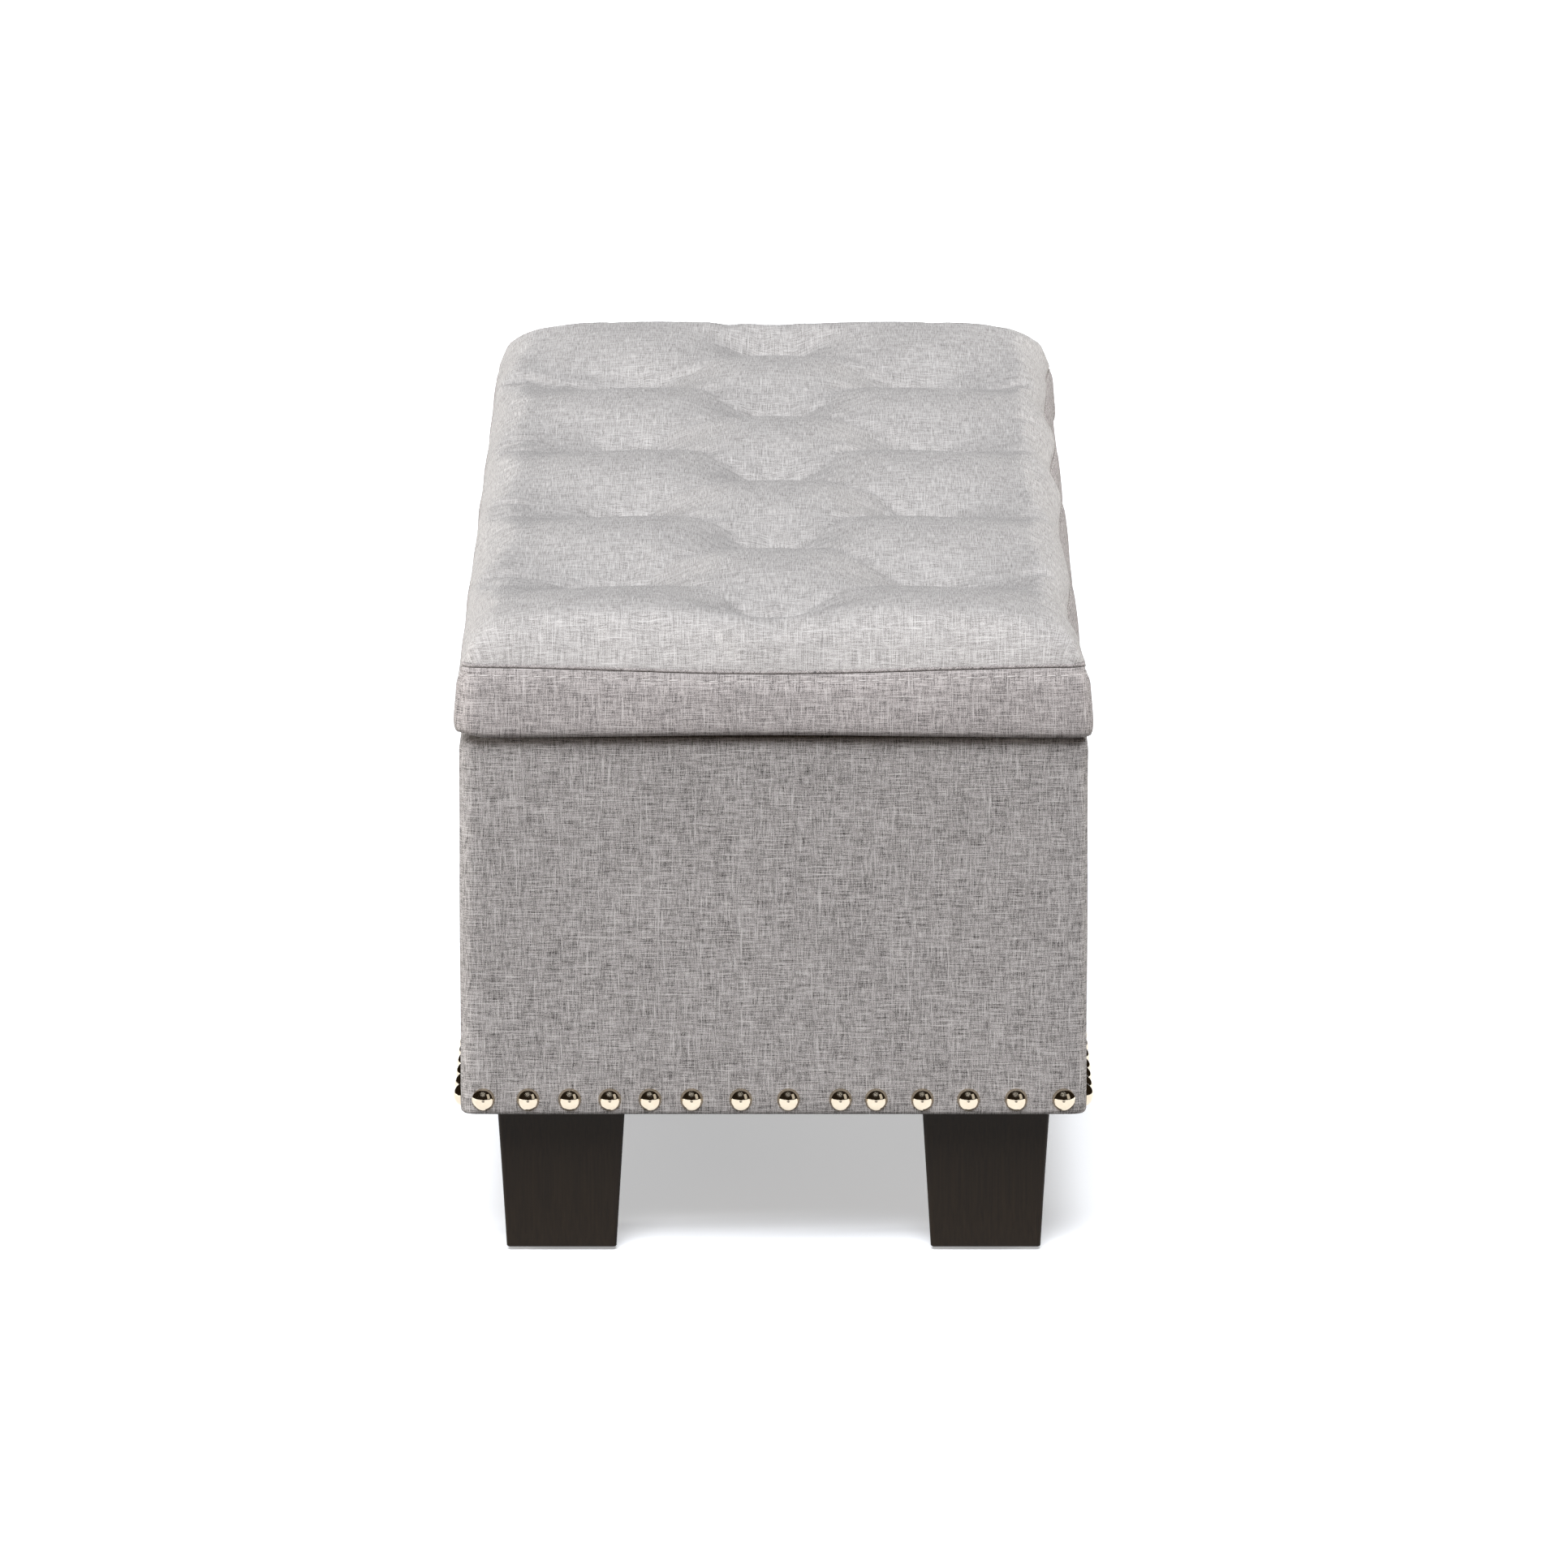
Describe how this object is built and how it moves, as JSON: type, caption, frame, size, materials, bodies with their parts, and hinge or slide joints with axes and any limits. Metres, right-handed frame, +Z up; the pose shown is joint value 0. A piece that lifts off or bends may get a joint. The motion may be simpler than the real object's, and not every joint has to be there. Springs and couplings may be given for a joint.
{
  "type": "storage bench",
  "caption": "Upholstered storage bench with a diamond-tufted lift-up lid on gas struts, nailhead trim along its foot and dark tapered block legs.",
  "frame": {"origin": "on the floor under the middle of the bench", "axes": "X along the bench, Y across it with the hinges at +Y, Z up"},
  "size_m": [1.21, 0.43, 0.4467],
  "materials": {
    "linen_weave": "heather grey linen-look weave",
    "foam": "soft foam wrap",
    "black_lining": "non-woven lining",
    "twine": "waxed twine",
    "plywood": "raw plywood and pine",
    "espresso_wood": "espresso stain, satin lacquer",
    "nickel": "polished antique nickel",
    "chrome": "hard chrome rod",
    "zinc_steel": "zinc-plated steel",
    "black_paint": "black painted tube",
    "black_plastic": "black moulded plastic",
    "rubber": "soft rubber"
  },
  "bodies": {
    "bench_body": {"front_panel": "plywood", "rear_panel": "plywood", "left_end_panel": "plywood", "right_end_panel": "plywood", "panel_screws": "zinc_steel", "front_cleat": "plywood", "rear_cleat": "plywood", "left_cleat": "plywood", "right_cleat": "plywood", "centre_bearer": "plywood", "corner_blocks": "plywood", "floor_panel": "plywood", "body_cover": "linen_weave", "body_padding": "foam", "storage_lining": "black_lining", "dust_cover": "black_lining", "leg_front_left": "espresso_wood", "leg_rear_left": "espresso_wood", "leg_front_right": "espresso_wood", "leg_rear_right": "espresso_wood", "leg_bolts": "zinc_steel", "leg_inserts": "zinc_steel", "leg_glides": "black_plastic", "nails_front": "nickel", "nails_rear": "nickel", "nails_left": "nickel", "nails_right": "nickel", "hinge_body_leaves": "zinc_steel", "hinge_pins": "zinc_steel", "hinge_body_screws": "zinc_steel", "left_strut_body_bracket": "zinc_steel", "right_strut_body_bracket": "zinc_steel", "strut_body_screws": "zinc_steel"},
    "lid": {"lid_board": "plywood", "lid_lining": "black_lining", "lid_border": "linen_weave", "seat_welt": "linen_weave", "seat_cushion": "linen_weave", "tuft_twines": "twine", "tuft_anchors": "black_plastic", "lid_bumpers": "rubber", "hinge_lid_leaves": "zinc_steel", "hinge_lid_screws": "zinc_steel", "left_strut_lid_bracket": "zinc_steel", "right_strut_lid_bracket": "zinc_steel", "strut_lid_screws": "zinc_steel"},
    "left_strut_cylinder": {"left_strut_lower_eye": "black_plastic", "left_strut_tube": "black_paint", "left_strut_guide": "zinc_steel"},
    "left_strut_piston": {"left_strut_rod": "chrome", "left_strut_upper_eye": "black_plastic"},
    "right_strut_cylinder": {"right_strut_lower_eye": "black_plastic", "right_strut_tube": "black_paint", "right_strut_guide": "zinc_steel"},
    "right_strut_piston": {"right_strut_rod": "chrome", "right_strut_upper_eye": "black_plastic"}
  },
  "joints": [
    {"name": "lid_hinge", "type": "hinge", "parent": "bench_body", "child": "lid", "pos_m": [0, 0.2073, 0.36105], "axis": [-1, 0, 0], "range_deg": [0, 85]},
    {"name": "left_cylinder_swing", "type": "hinge", "parent": "bench_body", "child": "left_strut_cylinder", "pos_m": [-0.5658, 0.17788, 0.19811], "axis": [-1, 0, 0], "range_deg": [0, 42.5]},
    {"name": "left_piston_swing", "type": "hinge", "parent": "lid", "child": "left_strut_piston", "pos_m": [-0.5658, 0.0423, 0.3473], "axis": [-1, 0, 0], "range_deg": [-42.5, 0]},
    {"name": "right_cylinder_swing", "type": "hinge", "parent": "bench_body", "child": "right_strut_cylinder", "pos_m": [0.5658, 0.17788, 0.19811], "axis": [-1, 0, 0], "range_deg": [0, 42.5]},
    {"name": "right_piston_swing", "type": "hinge", "parent": "lid", "child": "right_strut_piston", "pos_m": [0.5658, 0.0423, 0.3473], "axis": [-1, 0, 0], "range_deg": [-42.5, 0]}
  ],
  "couplings": [
    {"joint": "left_cylinder_swing", "follows": "lid_hinge", "ratio": 0.5},
    {"joint": "left_piston_swing", "follows": "lid_hinge", "ratio": -0.5},
    {"joint": "right_cylinder_swing", "follows": "lid_hinge", "ratio": 0.5},
    {"joint": "right_piston_swing", "follows": "lid_hinge", "ratio": -0.5}
  ]
}
